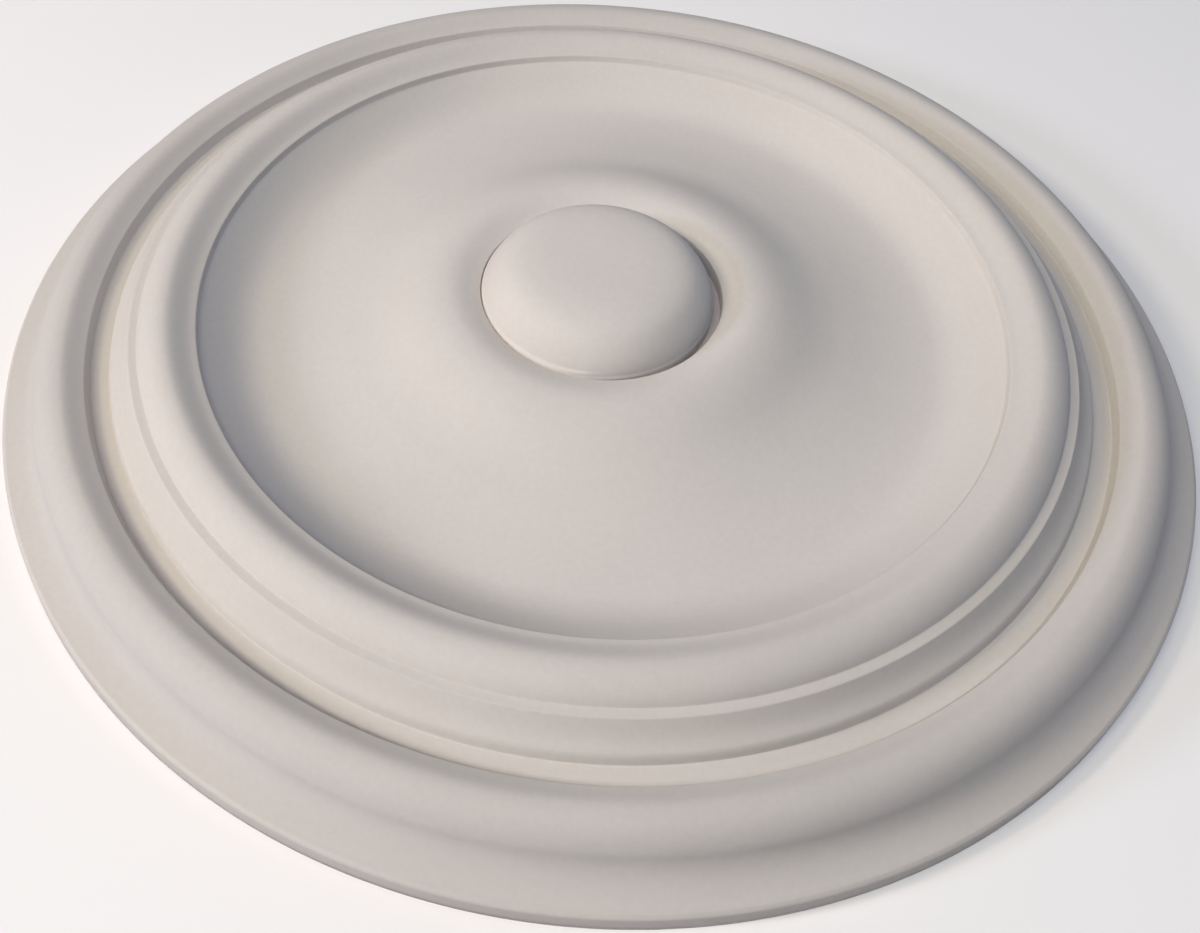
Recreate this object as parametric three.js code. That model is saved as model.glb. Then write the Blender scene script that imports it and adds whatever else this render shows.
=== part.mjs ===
// A round moulded ceiling rose, lying on its flat back with its face up.
// The disc is one moulding turned about Z, and a domed button sits in the
// recess at its centre. Millimetres, +Z up, origin at the centre of the back.
import * as THREE from 'three';

// ---- sizes of the disc, from the outside in: [radius, height] ----
const RIM_R = 250.0;                  // outer edge at the back
const RIM_TOP = [249.7, 7.5];         // edge draws in slightly towards its arris
const LIP = [248.3, 8.9];             // start of the shallow lip
const LIP_IN = [240.6, 11.3];         // lip turns up into the flank
const FLANK = [234.6, 19.6];          // steepest part of the large roll's outer flank
const FLANK_DEG = 80;
const ROLL_OUT = [229.2, 27.6];       // the flank turns over into the crest
const ROLL = [222.2, 29.7];           // crest of the large roll
const ROLL_IN = [213.1, 25.4];        // foot of the roll's inner side
const CREASE = [211.8, 20.7];         // crease below it
const STRIP = [204.1, 21.2];          // near-level strip inside the crease
const OGEE = [201.7, 26.3];           // rounded foot of the ogee ends, its hollow begins
const OGEE_TOP = [194.1, 34.7];       // arris above the ogee
const FILLET = [190.4, 34.9];         // level fillet below the bead
const BEAD = [178.7, 43.2];           // crest of the bead
const BEAD_IN = [168.5, 38.5];        // inner foot of the bead
const STEP = [166.5, 37.9];           // narrow fillet, then a small drop
const STEP_FOOT = [165.9, 35.0];      // top of the dish's side
const DISH_SIDE = [152.0, 25.5];
const DISH = [140.0, 22.5];           // lowest ring of the dish
const BOSS_FOOT = [106.0, 27.2];      // soft change of slope at the foot of the boss
const BOSS_MID = [85.0, 34.5];
const BOSS = [63.0, 41.5];            // crest of the boss
const RECESS_R = 50.4;                // edge and floor of the round recess
const RECESS_Z = 37.8;
const FLOOR_Z = 31.0;

// ---- sizes of the button ----
const BUTTON_R = 48.4;
const BUTTON_GAP = 0.3;               // it rests on the floor of the recess
const BUTTON_SHIFT = [-1.64, -0.44];  // seated against one side of the recess
const FLARE_Z = 36.2;                 // narrow flare round the foot of the dome
const FLANK_FOOT = [47.9, 37.4];
const SHOULDER = [40.4, 49.4];        // the flank rolls over into the top
const BUTTON_FLAT = [28.0, 53.7];     // edge of the nearly flat top
const BUTTON_TOP_Z = 54.4;

const DISC_SEGMENTS = 96;
const BUTTON_SEGMENTS = 64;

// Smooth run between two profile points, leaving and arriving at given
// angles (degrees above level, counted inwards).
function run([r0, z0], deg0, [r1, z1], deg1, n) {
  const span = Math.hypot(r1 - r0, z1 - z0);
  const a = THREE.MathUtils.degToRad(deg0), b = THREE.MathUtils.degToRad(deg1);
  const t0 = [-Math.cos(a) * span, Math.sin(a) * span];
  const t1 = [-Math.cos(b) * span, Math.sin(b) * span];
  const pts = [];
  for (let i = 1; i <= n; i++) {
    const t = i / n, t2 = t * t, t3 = t2 * t;
    const h00 = 2 * t3 - 3 * t2 + 1, h10 = t3 - 2 * t2 + t;
    const h01 = -2 * t3 + 3 * t2, h11 = t3 - t2;
    pts.push([
      h00 * r0 + h10 * t0[0] + h01 * r1 + h11 * t1[0],
      h00 * z0 + h10 * t0[1] + h01 * z1 + h11 * t1[1],
    ]);
  }
  return pts;
}

function discProfile() {
  const p = [[0, 0], [RIM_R, 0], RIM_TOP, LIP];
  p.push(...run(LIP, 9, LIP_IN, 26, 1));
  p.push(...run(LIP_IN, 26, FLANK, FLANK_DEG, 3));
  p.push(...run(FLANK, FLANK_DEG, ROLL_OUT, 34, 2));
  p.push(...run(ROLL_OUT, 34, ROLL, 0, 2));
  p.push(...run(ROLL, 0, ROLL_IN, -23, 3));
  p.push(CREASE, STRIP);
  p.push(...run(STRIP, 80, OGEE, 30, 2));
  p.push(...run(OGEE, 30, OGEE_TOP, 60, 2));
  p.push(FILLET);
  p.push(...run(FILLET, 70, BEAD, 0, 4));
  p.push(...run(BEAD, 0, BEAD_IN, -20, 3));
  p.push(STEP, STEP_FOOT);
  p.push(...run(STEP_FOOT, -34, DISH_SIDE, -27, 1));
  p.push(...run(DISH_SIDE, -27, DISH, 0, 2));
  p.push(...run(DISH, 0, BOSS_FOOT, 15, 2));
  p.push(...run(BOSS_FOOT, 12, BOSS_MID, 26, 2));
  p.push(...run(BOSS_MID, 26, BOSS, 0, 3));
  p.push(...run(BOSS, 0, [RECESS_R, RECESS_Z], -24, 2));
  p.push([RECESS_R, FLOOR_Z], [0, FLOOR_Z]);
  return p;
}

function buttonProfile() {
  const foot = FLOOR_Z + BUTTON_GAP;
  const p = [[0, foot], [BUTTON_R, foot], [BUTTON_R, FLARE_Z], FLANK_FOOT];
  p.push(...run(FLANK_FOOT, 80, SHOULDER, 40, 3));
  p.push(...run(SHOULDER, 40, BUTTON_FLAT, 6, 3));
  p.push(...run(BUTTON_FLAT, 6, [0, BUTTON_TOP_Z], 0, 2));
  p[p.length - 1][0] = 0;
  return p;
}

// Turn a profile about Z. The profile runs from the axis out along the
// underside, up the outside and back over the top to the axis.
function turned(name, profile, segments, material) {
  const geometry = new THREE.LatheGeometry(
    profile.map(([r, z]) => new THREE.Vector2(Math.max(r, 0), z)), segments);
  geometry.rotateX(Math.PI / 2);
  const mesh = new THREE.Mesh(geometry, material);
  mesh.name = name;
  return mesh;
}

const primedWhite = () => new THREE.MeshStandardMaterial({
  color: new THREE.Color().setRGB(0.80, 0.775, 0.75, THREE.SRGBColorSpace), roughness: 0.88, metalness: 0,
});

const rose = turned('rose', discProfile(), DISC_SEGMENTS, primedWhite());
const button = turned('centre_button', buttonProfile(), BUTTON_SEGMENTS, primedWhite());
button.position.set(BUTTON_SHIFT[0], BUTTON_SHIFT[1], 0);

const ceilingRose = new THREE.Group();
ceilingRose.name = 'ceiling_rose';
ceilingRose.add(rose, button);

export default ceilingRose;
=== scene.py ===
# Looks of the ceiling rose: the moulded disc and its button as fine turned
# meshes with softened arrises, a matte primed finish, and the photo's view.
import math
import bpy
import numpy as np
from mathutils import Matrix, Vector


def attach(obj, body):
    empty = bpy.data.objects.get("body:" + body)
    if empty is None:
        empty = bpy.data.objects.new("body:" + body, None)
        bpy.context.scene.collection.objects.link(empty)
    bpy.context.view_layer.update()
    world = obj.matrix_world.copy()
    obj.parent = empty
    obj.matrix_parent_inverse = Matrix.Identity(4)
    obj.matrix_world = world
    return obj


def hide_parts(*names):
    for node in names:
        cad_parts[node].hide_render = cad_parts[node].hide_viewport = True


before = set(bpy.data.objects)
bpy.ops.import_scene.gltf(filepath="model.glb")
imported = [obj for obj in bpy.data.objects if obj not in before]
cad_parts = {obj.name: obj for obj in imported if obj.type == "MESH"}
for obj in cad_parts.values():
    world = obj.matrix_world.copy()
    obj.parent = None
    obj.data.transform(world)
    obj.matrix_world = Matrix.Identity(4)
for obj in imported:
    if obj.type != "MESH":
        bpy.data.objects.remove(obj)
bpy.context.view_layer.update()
MM = 0.001

# ------------------------------------------------------------------ sizes
# (mm, the same as the solids: r = radius, z = height above the back)
RIM_R, RIM_TOP = 250.0, (249.7, 7.5)
LIP, LIP_IN = (248.3, 8.9), (240.6, 11.3)
FLANK, FLANK_DEG, ROLL_OUT = (234.6, 19.6), 80, (229.2, 27.6)
ROLL, ROLL_IN = (222.2, 29.7), (213.1, 25.4)
CREASE, STRIP = (211.8, 20.7), (204.1, 21.2)
OGEE, OGEE_TOP = (201.7, 26.3), (194.1, 34.7)
FILLET, BEAD, BEAD_IN = (190.4, 34.9), (178.7, 43.2), (168.5, 38.5)
STEP, STEP_FOOT = (166.5, 37.9), (165.9, 35.0)
DISH_SIDE, DISH = (152.0, 25.5), (140.0, 22.5)
BOSS_FOOT, BOSS_MID, BOSS = (106.0, 27.2), (85.0, 34.5), (63.0, 41.5)
RECESS_R, RECESS_Z, FLOOR_Z = 50.4, 37.8, 31.0

BUTTON_R, BUTTON_GAP, BUTTON_SHIFT = 48.4, 0.3, (-1.64, -0.44)
FLARE_Z, FLANK_FOOT = 36.2, (47.9, 37.4)
SHOULDER, BUTTON_FLAT, BUTTON_TOP_Z = (40.4, 49.4), (28.0, 53.7), 54.4

ARRIS_MM = 0.30          # how far the paint softens each arris
DISC_POINTS, DISC_SEGMENTS = 236, 384
BUTTON_POINTS, BUTTON_SEGMENTS = 110, 256


# --------------------------------------------------------------- profiles
def run(p0, deg0, p1, deg1, n=60):
    """Smooth run between two profile points, at angles above level, counted inwards."""
    span = math.hypot(p1[0] - p0[0], p1[1] - p0[1])
    a, b = math.radians(deg0), math.radians(deg1)
    t = np.linspace(0, 1, n + 1)[1:, None]
    m0 = np.array([-math.cos(a), math.sin(a)]) * span
    m1 = np.array([-math.cos(b), math.sin(b)]) * span
    p0, p1 = np.array(p0, float), np.array(p1, float)
    return ((2 * t**3 - 3 * t**2 + 1) * p0 + (t**3 - 2 * t**2 + t) * m0
            + (-2 * t**3 + 3 * t**2) * p1 + (t**3 - t**2) * m1)


def disc_profile():
    p = [[(RIM_R, 0)], [RIM_TOP], [LIP]]
    p.append(run(LIP, 9, LIP_IN, 26))
    p.append(run(LIP_IN, 26, FLANK, FLANK_DEG))
    p.append(run(FLANK, FLANK_DEG, ROLL_OUT, 34))
    p.append(run(ROLL_OUT, 34, ROLL, 0))
    p.append(run(ROLL, 0, ROLL_IN, -23))
    p.append([CREASE, STRIP])
    p.append(run(STRIP, 80, OGEE, 30))
    p.append(run(OGEE, 30, OGEE_TOP, 60))
    p.append([FILLET])
    p.append(run(FILLET, 70, BEAD, 0))
    p.append(run(BEAD, 0, BEAD_IN, -20))
    p.append([STEP, STEP_FOOT])
    p.append(run(STEP_FOOT, -34, DISH_SIDE, -27))
    p.append(run(DISH_SIDE, -27, DISH, 0))
    p.append(run(DISH, 0, BOSS_FOOT, 15))
    p.append(run(BOSS_FOOT, 12, BOSS_MID, 26))
    p.append(run(BOSS_MID, 26, BOSS, 0))
    p.append(run(BOSS, 0, (RECESS_R, RECESS_Z), -24))
    p.append([(RECESS_R, FLOOR_Z), (0, FLOOR_Z)])
    return np.vstack([np.array(q, float) for q in p])


def button_profile():
    foot = FLOOR_Z + BUTTON_GAP
    p = [[(BUTTON_R, foot)], [(BUTTON_R, FLARE_Z)], [FLANK_FOOT]]
    p.append(run(FLANK_FOOT, 80, SHOULDER, 40))
    p.append(run(SHOULDER, 40, BUTTON_FLAT, 6))
    p.append(run(BUTTON_FLAT, 6, (0, BUTTON_TOP_Z), 0))
    return np.vstack([np.array(q, float) for q in p])


def softened(profile, arris, count):
    """Rounds every arris a little and keeps more points where the profile bends."""
    step = np.r_[0, np.cumsum(np.hypot(*np.diff(profile, axis=0).T))]
    s = np.arange(0, step[-1], 0.1)
    fine = np.column_stack([np.interp(s, step, profile[:, k]) for k in (0, 1)])
    half = int(4 * arris / 0.1)
    k = np.exp(-0.5 * (np.arange(-half, half + 1) * 0.1 / arris) ** 2)
    k /= k.sum()
    pad = np.vstack([2 * fine[0] - fine[half:0:-1], fine, 2 * fine[-1] - fine[-2:-half - 2:-1]])
    fine = np.column_stack([np.convolve(pad[:, j], k, "valid") for j in (0, 1)])
    fine[0], fine[-1] = profile[0], profile[-1]
    t = np.gradient(fine, axis=0)
    bend = np.abs(np.gradient(np.unwrap(np.arctan2(t[:, 1], t[:, 0]))))
    bend = np.convolve(bend, np.ones(7) / 7, "same")
    weight = 0.006 + bend / bend.sum() * 20 + 0.0009 * np.hypot(*t.T)
    w = np.r_[0, np.cumsum(weight)[:-1]]
    w /= w[-1]
    pick = np.interp(np.linspace(0, 1, count), w, np.arange(len(fine)))
    return np.column_stack([np.interp(pick, np.arange(len(fine)), fine[:, j]) for j in (0, 1)])


# ----------------------------------------------------------------- meshes
def turned(name, profile, segments, underside, at=(0, 0)):
    """Turns a profile that runs from the outer foot to the axis, with a flat underside of a few rings."""
    foot_r, foot_z = profile[0]
    rings = [(foot_r * f, foot_z) for f in underside] + [tuple(q) for q in profile[:-1]]
    r = np.array([q[0] for q in rings])
    z = np.array([q[1] for q in rings])
    a = np.arange(segments) / segments * 2 * math.pi
    x = r[:, None] * np.cos(a) + at[0]
    y = r[:, None] * np.sin(a) + at[1]
    ring_verts = np.stack([x, y, np.repeat(z[:, None], segments, 1)], -1).reshape(-1, 3)
    n = len(rings)
    verts = np.vstack([ring_verts, [[at[0], at[1], foot_z], [at[0], at[1], profile[-1][1]]]]) * MM
    i = np.arange(n - 1)[:, None] * segments
    j = np.arange(segments)[None, :]
    j1 = (j + 1) % segments
    quads = np.stack([i + j, i + j1, i + segments + j1, i + segments + j], -1).reshape(-1, 4)
    faces = [tuple(q) for q in quads.tolist()]
    low, top, last = n * segments, n * segments + 1, (n - 1) * segments
    faces += [(low, (k + 1) % segments, k) for k in range(segments)]
    faces += [(top, last + k, last + (k + 1) % segments) for k in range(segments)]
    mesh = bpy.data.meshes.new(name)
    mesh.from_pydata(verts.tolist(), [], faces)
    mesh.validate()
    mesh.polygons.foreach_set("use_smooth", [True] * len(mesh.polygons))
    mesh.update()
    obj = bpy.data.objects.new(name, mesh)
    bpy.context.collection.objects.link(obj)
    return obj


def painted_in(obj):
    """Closes the joint with paint on the side where the button is seated against the recess."""
    n = len(obj.data.vertices)
    co = np.empty(n * 3)
    obj.data.vertices.foreach_get("co", co)
    co = co.reshape(-1, 3) / MM
    s = np.array(BUTTON_SHIFT)
    out = co[:, :2] - s
    r = np.maximum(np.hypot(*out.T), 1e-6)
    u = out / r[:, None]
    wall = -(u @ s) + np.sqrt((u @ s) ** 2 - s @ s + (RECESS_R - 0.02) ** 2)

    def ease(v, lo, hi):
        v = np.clip((v - lo) / (hi - lo), 0, 1)
        return v * v * (3 - 2 * v)

    amount = ease(u @ s / np.hypot(*s), 0.1, 0.6) * ease(co[:, 2], 39.4, 38.0) * ease(r, 44.0, 46.0)
    co[:, :2] += u * (np.maximum(wall - BUTTON_R, 0) * amount)[:, None]
    obj.data.vertices.foreach_set("co", (co * MM).ravel())
    obj.data.update()


# --------------------------------------------------------------- material
def primed(name, grain_seed, along, low, high, tint_and_painted_shade):
    """Matte primer; `along` picks out radius or height (m), and the last argument colours it from low to high: a
    slight real tint together with painted light and shade.
    """
    mat = bpy.data.materials.new(name)
    mat.use_nodes = True
    nt = mat.node_tree
    nodes, link = nt.nodes, nt.links.new
    shader = nodes["Principled BSDF"]
    shader.inputs["Metallic"].default_value = 0.0
    shader.inputs["Specular IOR Level"].default_value = 0.32
    where = nodes.new("ShaderNodeTexCoord")

    def noise(scale, detail, rough, offset):
        shift = nodes.new("ShaderNodeMapping")
        shift.inputs["Location"].default_value = (offset, offset * 0.7, offset * 1.3)
        link(where.outputs["Object"], shift.inputs["Vector"])
        n = nodes.new("ShaderNodeTexNoise")
        n.inputs["Scale"].default_value = scale
        n.inputs["Detail"].default_value = detail
        n.inputs["Roughness"].default_value = rough
        link(shift.outputs["Vector"], n.inputs["Vector"])
        return n.outputs["Fac"]

    def ramp(fac, stops):
        r = nodes.new("ShaderNodeValToRGB")
        while len(r.color_ramp.elements) > len(stops):
            r.color_ramp.elements.remove(r.color_ramp.elements[-1])
        while len(r.color_ramp.elements) < len(stops):
            r.color_ramp.elements.new(0.5)
        for e, (pos, col) in zip(r.color_ramp.elements, stops):
            e.position = pos
            e.color = (*col, 1) if len(col) == 3 else col
        link(fac, r.inputs["Fac"])
        return r.outputs["Color"]

    # broad, faint clouds in the primer, then a finer mottle over them
    cloud = ramp(noise(9.0, 3.0, 0.55, 3.1 + grain_seed),
                 [(0.32, (0.585, 0.560, 0.535)), (0.68, (0.615, 0.588, 0.560))])
    mottle = ramp(noise(420.0, 4.0, 0.6, 11.7 + grain_seed),
                  [(0.30, (0.955, 0.955, 0.955)), (0.70, (1.0, 1.0, 1.0))])
    tone = nodes.new("ShaderNodeMix")
    tone.data_type = "RGBA"
    tone.blend_type = "MULTIPLY"
    tone.inputs["Factor"].default_value = 1.0
    link(cloud, tone.inputs["A"])
    link(mottle, tone.inputs["B"])
    pick = nodes.new("ShaderNodeMapping")
    pick.inputs["Scale"].default_value = along
    link(where.outputs["Object"], pick.inputs["Vector"])
    reach = nodes.new("ShaderNodeVectorMath")
    reach.operation = "LENGTH"
    link(pick.outputs["Vector"], reach.inputs[0])
    part = nodes.new("ShaderNodeMapRange")
    part.inputs["From Min"].default_value = low
    part.inputs["From Max"].default_value = high
    link(reach.outputs["Value"], part.inputs["Value"])
    # painted light and shade: these bands scale the base colour by radius or height, standing in for light falloff,
    # shadow and highlight as well as a slight tint
    tint_and_shade_bands = ramp(part.outputs["Result"], tint_and_painted_shade)
    tint = nodes.new("ShaderNodeMix")
    tint.data_type = "RGBA"
    tint.blend_type = "MULTIPLY"
    tint.inputs["Factor"].default_value = 1.0
    link(tone.outputs["Result"], tint.inputs["A"])
    link(tint_and_shade_bands, tint.inputs["B"])
    link(tint.outputs["Result"], shader.inputs["Base Color"])

    rough = ramp(noise(260.0, 3.0, 0.6, 23.0 + grain_seed),
                 [(0.3, (0.80, 0.80, 0.80)), (0.7, (0.92, 0.92, 0.92))])
    link(rough, shader.inputs["Roughness"])

    grain = nodes.new("ShaderNodeBump")
    grain.inputs["Strength"].default_value = 0.10
    grain.inputs["Distance"].default_value = 0.0003
    link(noise(1500.0, 3.0, 0.65, 41.0 + grain_seed), grain.inputs["Height"])
    orange = nodes.new("ShaderNodeBump")
    orange.inputs["Strength"].default_value = 0.05
    orange.inputs["Distance"].default_value = 0.0008
    link(noise(170.0, 2.0, 0.5, 57.0 + grain_seed), orange.inputs["Height"])
    link(grain.outputs["Normal"], orange.inputs["Normal"])
    link(orange.outputs["Normal"], shader.inputs["Normal"])
    return mat


# ----------------------------------------------------------------- pieces
rose = turned("rose_face", softened(disc_profile(), ARRIS_MM, DISC_POINTS), DISC_SEGMENTS, (0.35, 0.7, 0.97))
# Radius tones of the rose, centre to rim: lighter at the centre and greyer outward from about 165 mm is painted
# light falloff; the darker, bluer band from about 226 to 246 mm, deepest over the outer flank, is painted shade; the
# warm band over the strip is partly its cream tint and partly painted light; the dark last stop on the rim edge is
# painted shade.
ROSE_TINT_AND_SHADE = [(0.0, (1.03, 1.03, 1.03)), (0.45, (1.02, 1.02, 1.02)), (0.60, (1.0, 1.0, 1.0)),
              (0.66, (0.985, 0.985, 0.985)), (0.72, (0.950, 0.950, 0.952)), (0.813, (0.940, 0.940, 0.938)),
              (0.820, (0.950, 0.944, 0.930)), (0.845, (0.950, 0.944, 0.930)), (0.852, (0.930, 0.930, 0.928)),
              (0.905, (0.895, 0.895, 0.900)), (0.930, (0.805, 0.808, 0.828)), (0.962, (0.835, 0.837, 0.850)),
              (0.985, (0.895, 0.895, 0.898)), (0.996, (0.885, 0.885, 0.890)), (0.9995, (0.720, 0.720, 0.735))]
rose.data.materials.append(primed("primed_white", 0.0, (1, 1, 0), 0.0, RIM_R * MM, ROSE_TINT_AND_SHADE))
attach(rose, "root")
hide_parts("rose")

button = turned("button_cap", softened(button_profile(), ARRIS_MM, BUTTON_POINTS), BUTTON_SEGMENTS,
                (0.5, 0.97), BUTTON_SHIFT)
painted_in(button)
# Height tones of the button: the lighter band at its foot, up to about 37 mm, is a painted highlight; above it one
# even tone.
BUTTON_FOOT_HIGHLIGHT = [(0.0, (1.10, 1.10, 1.10)), (0.30, (1.10, 1.10, 1.10)), (0.35, (1.02, 1.02, 1.02)), (1.0, (1.02, 1.02, 1.02))]
button.data.materials.append(primed("button_white", 5.0, (0, 0, 1), FLOOR_Z * MM, (FLOOR_Z + 20) * MM, BUTTON_FOOT_HIGHLIGHT))
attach(button, "root")
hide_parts("centre_button")

# ------------------------------------------------------------------ floor
bpy.ops.mesh.primitive_plane_add(size=30, location=(0, 0, -0.0004))
floor = bpy.context.object
floor.name = "floor"
paper = bpy.data.materials.new("floor_paper")
paper.use_nodes = True
paper.node_tree.nodes["Principled BSDF"].inputs["Base Color"].default_value = (0.88, 0.88, 0.885, 1)
paper.node_tree.nodes["Principled BSDF"].inputs["Roughness"].default_value = 0.95
paper.node_tree.nodes["Principled BSDF"].inputs["Specular IOR Level"].default_value = 0.1
floor.data.materials.append(paper)


# ----------------------------------------------------------------- lights
def area(name, spot, target, size, power, colour):
    data = bpy.data.lights.new(name, "AREA")
    data.shape = "DISK"
    data.size = size
    data.energy = power
    data.color = colour
    obj = bpy.data.objects.new(name, data)
    obj.location = spot
    obj.rotation_euler = (Vector(target) - Vector(spot)).to_track_quat("-Z", "Y").to_euler()
    bpy.context.collection.objects.link(obj)
    return obj


def soft(name, azimuth, height, size, power, colour, away=3.0):
    """A soft lamp in a given direction: degrees round from +X and degrees above the floor."""
    az, el = math.radians(azimuth), math.radians(height)
    spot = Vector((math.cos(az) * math.cos(el), math.sin(az) * math.cos(el), math.sin(el))) * away
    return area(name, spot, (0, 0, 0.03), size, power, colour)


soft("window", 199, 38, 0.6, 31.5, (1.0, 0.85, 0.70))
soft("low_window", 198, 22, 0.5, 29.0, (0.77, 0.79, 1.0))
soft("skylight", 228, 50, 1.6, 33.5, (1.0, 1.0, 0.76))
soft("high_wall", 262, 63, 2.2, 28.5, (0.73, 0.74, 1.0))
soft("ceiling", 0, 90, 2.6, 12.0, (1.0, 0.72, 0.44))
soft("far_wall", 32, 43, 2.2, 12.5, (0.30, 0.64, 1.0))
soft("back_wall", 74, 18, 1.6, 6.5, (0.72, 0.74, 1.0))

world = bpy.data.worlds.new("room")
world.use_nodes = True
wn, wl = world.node_tree.nodes, world.node_tree.links.new
sky = wn.new("ShaderNodeTexCoord")
split = wn.new("ShaderNodeSeparateXYZ")
side = wn.new("ShaderNodeMapRange")
side.inputs["From Min"].default_value = -1.0
tint = wn.new("ShaderNodeValToRGB")
tint.color_ramp.elements[0].position = 0.30
tint.color_ramp.elements[0].color = (1.0, 0.98, 0.95, 1)
tint.color_ramp.elements[1].position = 0.85
tint.color_ramp.elements[1].color = (0.50, 0.60, 0.82, 1)
wl(sky.outputs["Generated"], split.inputs["Vector"])
wl(split.outputs["X"], side.inputs["Value"])
wl(side.outputs["Result"], tint.inputs["Fac"])
wl(tint.outputs["Color"], wn["Background"].inputs["Color"])
wn["Background"].inputs["Strength"].default_value = 0.008
bpy.context.scene.world = world
bpy.context.scene.view_settings.view_transform = "Standard"
bpy.context.scene.view_settings.look = "None"
bpy.context.scene.view_settings.exposure = 0.0
bpy.context.scene.view_settings.gamma = 1.0

# ----------------------------------------------------------------- camera
# Where the photo was taken from: distance in disc radii, angles in degrees.
CAM_D, CAM_ELEV, CAM_PAN, CAM_TILT, CAM_ROLL = 2.2, 46.502, 3.636, 5.694, 6.159
CAM_F, CAM_SIDE, PHOTO_W = 1239.1, 97.7, 1200.0

e = math.radians(CAM_ELEV)
spot = Vector((0, -CAM_D * math.cos(e), CAM_D * math.sin(e)))
ahead = -spot.normalized()
right = Vector((1, 0, 0))
up = right.cross(ahead)
look = Matrix((right, -up, ahead))
pan, tilt, roll = (math.radians(v) for v in (CAM_PAN, CAM_TILT, CAM_ROLL))
turn_y = Matrix(((math.cos(pan), 0, math.sin(pan)), (0, 1, 0), (-math.sin(pan), 0, math.cos(pan))))
turn_x = Matrix(((1, 0, 0), (0, math.cos(tilt), -math.sin(tilt)), (0, math.sin(tilt), math.cos(tilt))))
turn_z = Matrix(((math.cos(roll), -math.sin(roll), 0), (math.sin(roll), math.cos(roll), 0), (0, 0, 1)))
look = turn_z @ turn_x @ turn_y @ look
axes = Matrix((look[0], -Vector(look[1]), -Vector(look[2]))).transposed()
cam_data = bpy.data.cameras.new("photo_view")
cam_data.sensor_fit = "HORIZONTAL"
cam_data.sensor_width = 36.0
cam_data.lens = CAM_F / PHOTO_W * 36.0
cam_data.shift_x = CAM_SIDE / PHOTO_W
cam_data.clip_start = 0.01
cam_data.dof.use_dof = False
cam = bpy.data.objects.new("photo_view", cam_data)
cam.matrix_world = Matrix.Translation(spot * RIM_R * MM) @ axes.to_4x4()
bpy.context.collection.objects.link(cam)
bpy.context.scene.camera = cam

bpy.context.view_layer.update()
